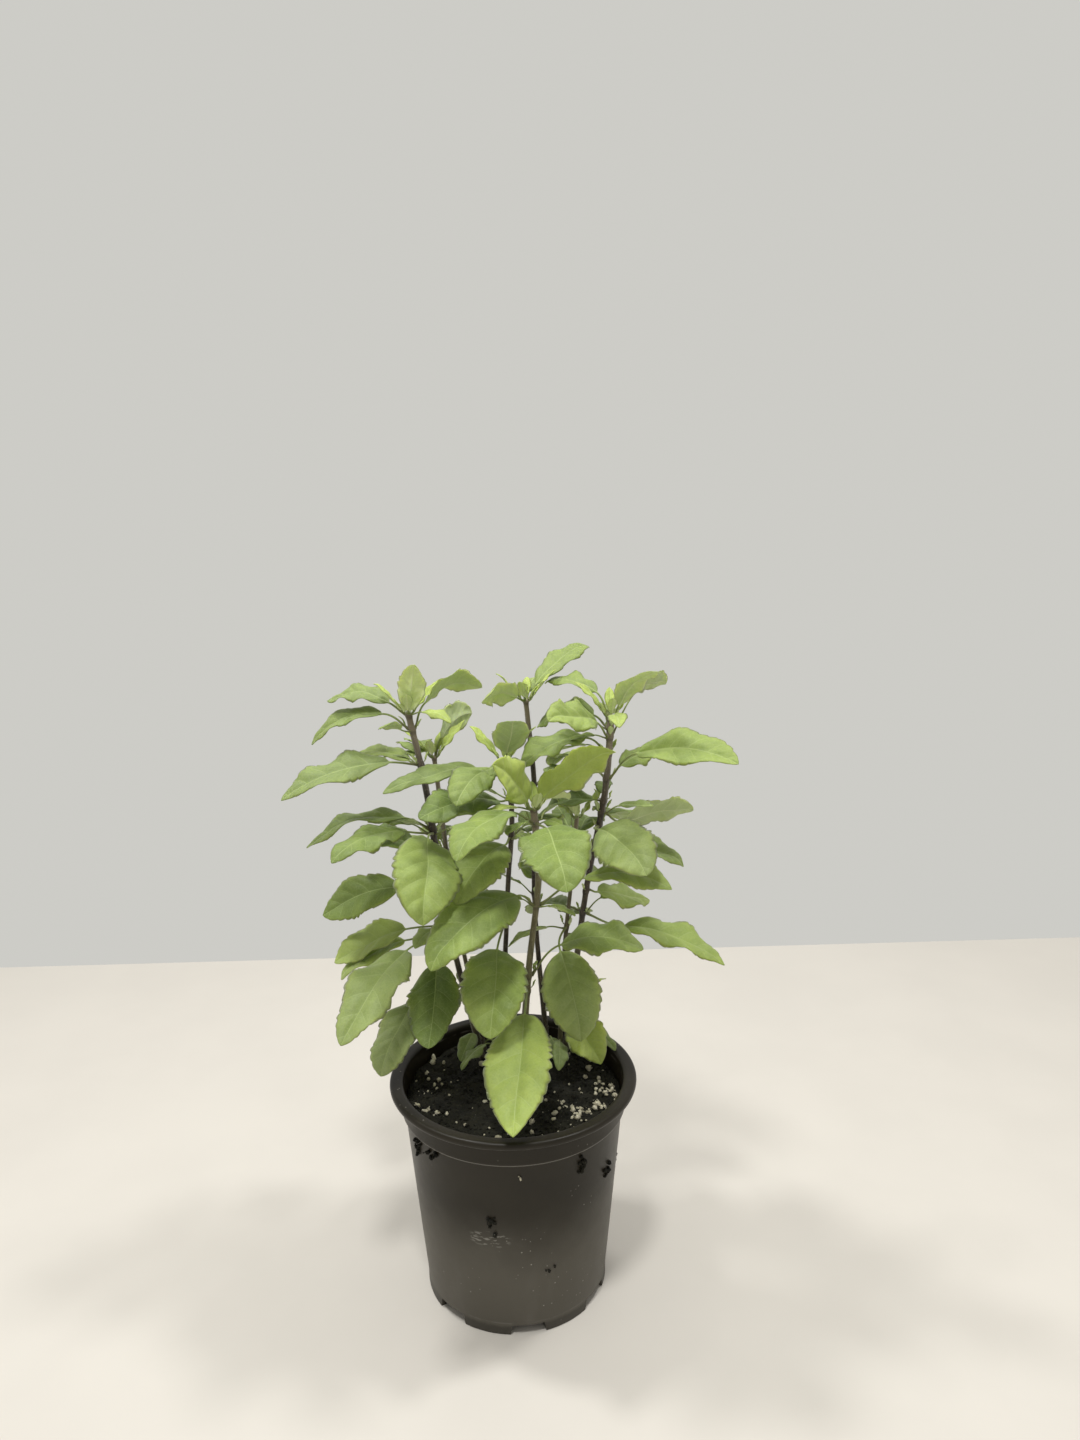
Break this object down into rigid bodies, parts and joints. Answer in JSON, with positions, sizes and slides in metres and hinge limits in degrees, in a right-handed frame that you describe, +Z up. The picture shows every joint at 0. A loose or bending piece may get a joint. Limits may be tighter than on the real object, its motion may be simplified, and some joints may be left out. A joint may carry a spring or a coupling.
{
  "type": "potted holy basil",
  "caption": "Bushy holy basil herb with serrated oval leaves on upright stems, growing in dark potting mix in a round black nursery pot.",
  "frame": {"origin": "on the pot's axis, on the surface that its feet stand on", "axes": "+Z up along the pot's axis; -Y is the front of the plant"},
  "size_m": [0.285, 0.1862, 0.4329],
  "materials": {
    "pot_plastic": "moulded black plastic with a soft sheen, scuffed and dusty",
    "potting_mix": "moist dark peat and bark crumbs with pale perlite grains",
    "stem_bark": "purple brown stem with fine pale hairs, greener towards the tip",
    "leaf_blade": "soft matte leaf, lighter veins, yellow green when young, grey green underneath"
  },
  "bodies": {
    "root": {"pot": "pot_plastic", "soil": "potting_mix", "left_stem": "stem_bark", "left_inner_stem": "stem_bark", "centre_left_stem": "stem_bark", "centre_stem": "stem_bark", "front_stem": "stem_bark", "right_stem": "stem_bark", "right_inner_stem": "stem_bark", "left_leaf_1": "leaf_blade", "left_leaf_2": "leaf_blade", "left_leaf_3": "leaf_blade", "left_leaf_4": "leaf_blade", "left_leaf_5": "leaf_blade", "left_leaf_6": "leaf_blade", "left_leaf_7": "leaf_blade", "left_leaf_8": "leaf_blade", "left_leaf_9": "leaf_blade", "left_leaf_10": "leaf_blade", "left_leaf_11": "leaf_blade", "left_leaf_12": "leaf_blade", "left_leaf_13": "leaf_blade", "left_leaf_14": "leaf_blade", "left_inner_leaf_1": "leaf_blade", "left_inner_leaf_2": "leaf_blade", "left_inner_leaf_3": "leaf_blade", "left_inner_leaf_4": "leaf_blade", "centre_left_leaf_1": "leaf_blade", "centre_left_leaf_2": "leaf_blade", "centre_left_leaf_3": "leaf_blade", "centre_left_leaf_4": "leaf_blade", "centre_left_leaf_5": "leaf_blade", "centre_left_leaf_6": "leaf_blade", "centre_leaf_1": "leaf_blade", "centre_leaf_2": "leaf_blade", "centre_leaf_3": "leaf_blade", "front_leaf_1": "leaf_blade", "front_leaf_2": "leaf_blade", "front_leaf_3": "leaf_blade", "front_leaf_4": "leaf_blade", "front_leaf_5": "leaf_blade", "front_leaf_6": "leaf_blade", "front_leaf_7": "leaf_blade", "front_leaf_8": "leaf_blade", "right_leaf_1": "leaf_blade", "right_leaf_2": "leaf_blade", "right_leaf_3": "leaf_blade", "right_leaf_4": "leaf_blade", "right_leaf_5": "leaf_blade", "right_leaf_6": "leaf_blade", "right_leaf_7": "leaf_blade", "right_leaf_8": "leaf_blade", "right_leaf_9": "leaf_blade", "right_leaf_10": "leaf_blade", "right_leaf_11": "leaf_blade", "right_leaf_12": "leaf_blade", "right_leaf_13": "leaf_blade", "right_inner_leaf_1": "leaf_blade", "right_inner_leaf_2": "leaf_blade", "right_inner_leaf_3": "leaf_blade"}
  },
  "joints": []
}
